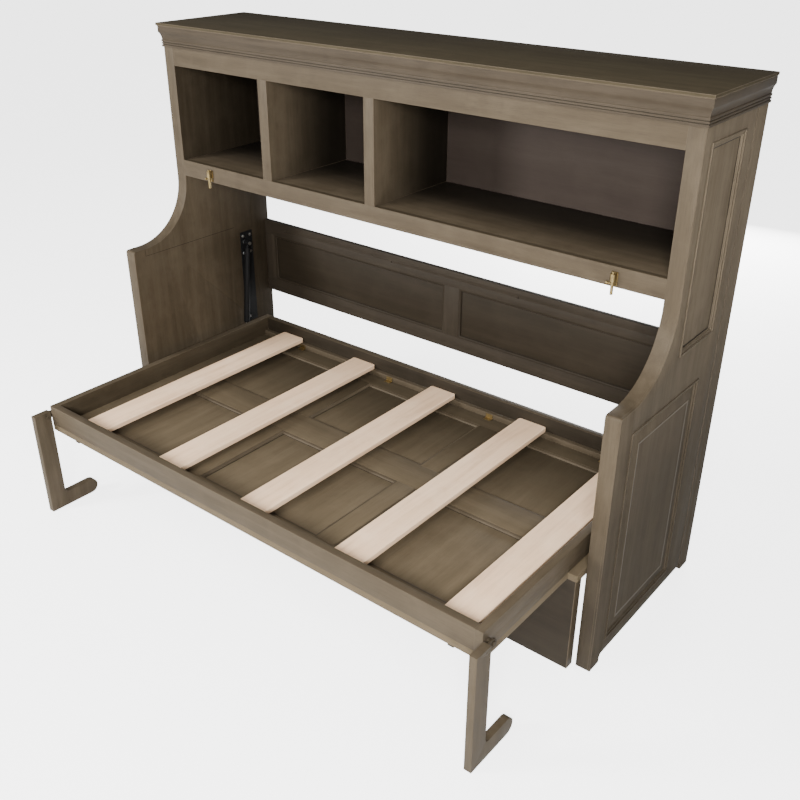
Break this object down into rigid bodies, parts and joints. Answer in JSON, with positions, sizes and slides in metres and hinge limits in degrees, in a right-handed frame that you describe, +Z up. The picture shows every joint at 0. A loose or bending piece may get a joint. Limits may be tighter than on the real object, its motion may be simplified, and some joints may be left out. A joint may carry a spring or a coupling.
{
  "type": "murphy wall bed",
  "caption": "Wooden murphy wall bed with an open hutch above, a fold-down slatted bed box, drop legs, gas springs and brass barrel bolts",
  "frame": {"origin": "Middle of the footprint of the lowered bed and cabinet together, at floor level", "axes": "+X to the right seen from the room, -Y out of the wall into the room, +Z up"},
  "size_m": [2.18, 1.275, 1.718],
  "materials": {
    "painted_wood": "grey-brown wiped paint and stain over wood, satin, edges rubbed lighter",
    "painted_wood_shaded": "the same grey-brown finish on recessed panels and inner boards",
    "dark_panel": "darker stained back board, matte",
    "pale_slat_wood": "bare pale wood, sanded",
    "brass": "brushed, slightly aged",
    "bright_steel": "zinc plated",
    "brown_steel": "leg pivots painted to match the timber",
    "black_steel": "black powder coat"
  },
  "bodies": {
    "cabinet": {"side_core_left": "painted_wood", "side_core_right": "painted_wood", "side_overlay_left": "painted_wood", "side_overlay_right": "painted_wood", "side_moulding_left": "painted_wood", "side_moulding_right": "painted_wood", "side_field_left": "painted_wood", "side_field_right": "painted_wood", "top_board": "painted_wood", "crown_cove": "painted_wood", "bead_strip": "painted_wood", "hutch_fascia": "painted_wood", "hutch_ceiling": "painted_wood_shaded", "hutch_back": "dark_panel", "hutch_shelf": "painted_wood", "shelf_apron": "painted_wood", "hutch_dividers": "painted_wood", "stretcher_top_rail": "painted_wood", "stretcher_low_rail": "painted_wood", "stretcher_stiles": "painted_wood", "stretcher_panels": "painted_wood_shaded", "pivot_bush_left": "brass", "pivot_bush_right": "brass", "spring_plates": "black_steel", "spring_plate_bolts": "bright_steel", "upper_studs": "bright_steel", "latch_plates": "brass", "latch_screws": "brass"},
    "bed": {"bed_rail_left": "painted_wood", "bed_rail_right": "painted_wood", "bed_rail_front": "painted_wood", "bed_rail_rear": "painted_wood", "face_stile_left": "painted_wood", "face_stile_right": "painted_wood", "face_rails": "painted_wood", "face_mullions": "painted_wood", "face_fields": "painted_wood_shaded", "slat_ledgers": "painted_wood", "slats": "pale_slat_wood", "corner_brackets": "brass", "desk_board": "painted_wood", "desk_cleats": "painted_wood", "pivot_arm_left": "black_steel", "pivot_arm_right": "black_steel", "pivot_pins": "bright_steel", "lower_stud_bosses": "black_steel", "leg_pins": "brown_steel", "keepers": "black_steel"},
    "leg_left": {"leg_left": "painted_wood", "leg_tongue_left": "brown_steel", "leg_bolts_left": "brown_steel"},
    "spring_cylinder_left": {"spring_cylinder_left": "black_steel"},
    "spring_rod_left": {"spring_rod_left": "bright_steel"},
    "latch_bolt_left": {"latch_bolt_left": "brass"},
    "leg_right": {"leg_right": "painted_wood", "leg_tongue_right": "brown_steel", "leg_bolts_right": "brown_steel"},
    "spring_cylinder_right": {"spring_cylinder_right": "black_steel"},
    "spring_rod_right": {"spring_rod_right": "bright_steel"},
    "latch_bolt_right": {"latch_bolt_right": "brass"}
  },
  "joints": [
    {"name": "bed_tilt", "type": "hinge", "parent": "cabinet", "child": "bed", "pos_m": [0, 0.215, 0.3525], "axis": [-1, 0, 0], "range_deg": [0, 90]},
    {"name": "leg_left_fold", "type": "hinge", "parent": "bed", "child": "leg_left", "pos_m": [-0.9995, -0.5455, 0.405], "axis": [1, 0, 0], "range_deg": [0, 90]},
    {"name": "spring_swing_left", "type": "hinge", "parent": "cabinet", "child": "spring_cylinder_left", "pos_m": [-1.005, 0.4895, 0.8], "axis": [-1, 0, 0], "range_deg": [0, 12.06]},
    {"name": "spring_stroke_left", "type": "slide", "parent": "spring_cylinder_left", "child": "spring_rod_left", "axis": [0, -0.1057, -0.9944], "range_m": [0, 0.3184]},
    {"name": "latch_left_slide", "type": "slide", "parent": "cabinet", "child": "latch_bolt_left", "axis": [0, 0, -1], "range_m": [0, 0.024]},
    {"name": "leg_right_fold", "type": "hinge", "parent": "bed", "child": "leg_right", "pos_m": [0.9995, -0.5455, 0.405], "axis": [1, 0, 0], "range_deg": [0, 90]},
    {"name": "spring_swing_right", "type": "hinge", "parent": "cabinet", "child": "spring_cylinder_right", "pos_m": [1.005, 0.4895, 0.8], "axis": [-1, 0, 0], "range_deg": [0, 12.06]},
    {"name": "spring_stroke_right", "type": "slide", "parent": "spring_cylinder_right", "child": "spring_rod_right", "axis": [0, -0.1057, -0.9944], "range_m": [0, 0.3184]},
    {"name": "latch_right_slide", "type": "slide", "parent": "cabinet", "child": "latch_bolt_right", "axis": [0, 0, -1], "range_m": [0, 0.024]}
  ],
  "couplings": [
    {"joint": "leg_left_fold", "follows": "bed_tilt", "ratio": 1},
    {"joint": "spring_swing_left", "follows": "bed_tilt", "ratio": 0.13345},
    {"joint": "spring_stroke_left", "follows": "bed_tilt", "m_per_rad": 0.20251},
    {"joint": "leg_right_fold", "follows": "bed_tilt", "ratio": 1},
    {"joint": "spring_swing_right", "follows": "bed_tilt", "ratio": 0.13345},
    {"joint": "spring_stroke_right", "follows": "bed_tilt", "m_per_rad": 0.20251}
  ]
}
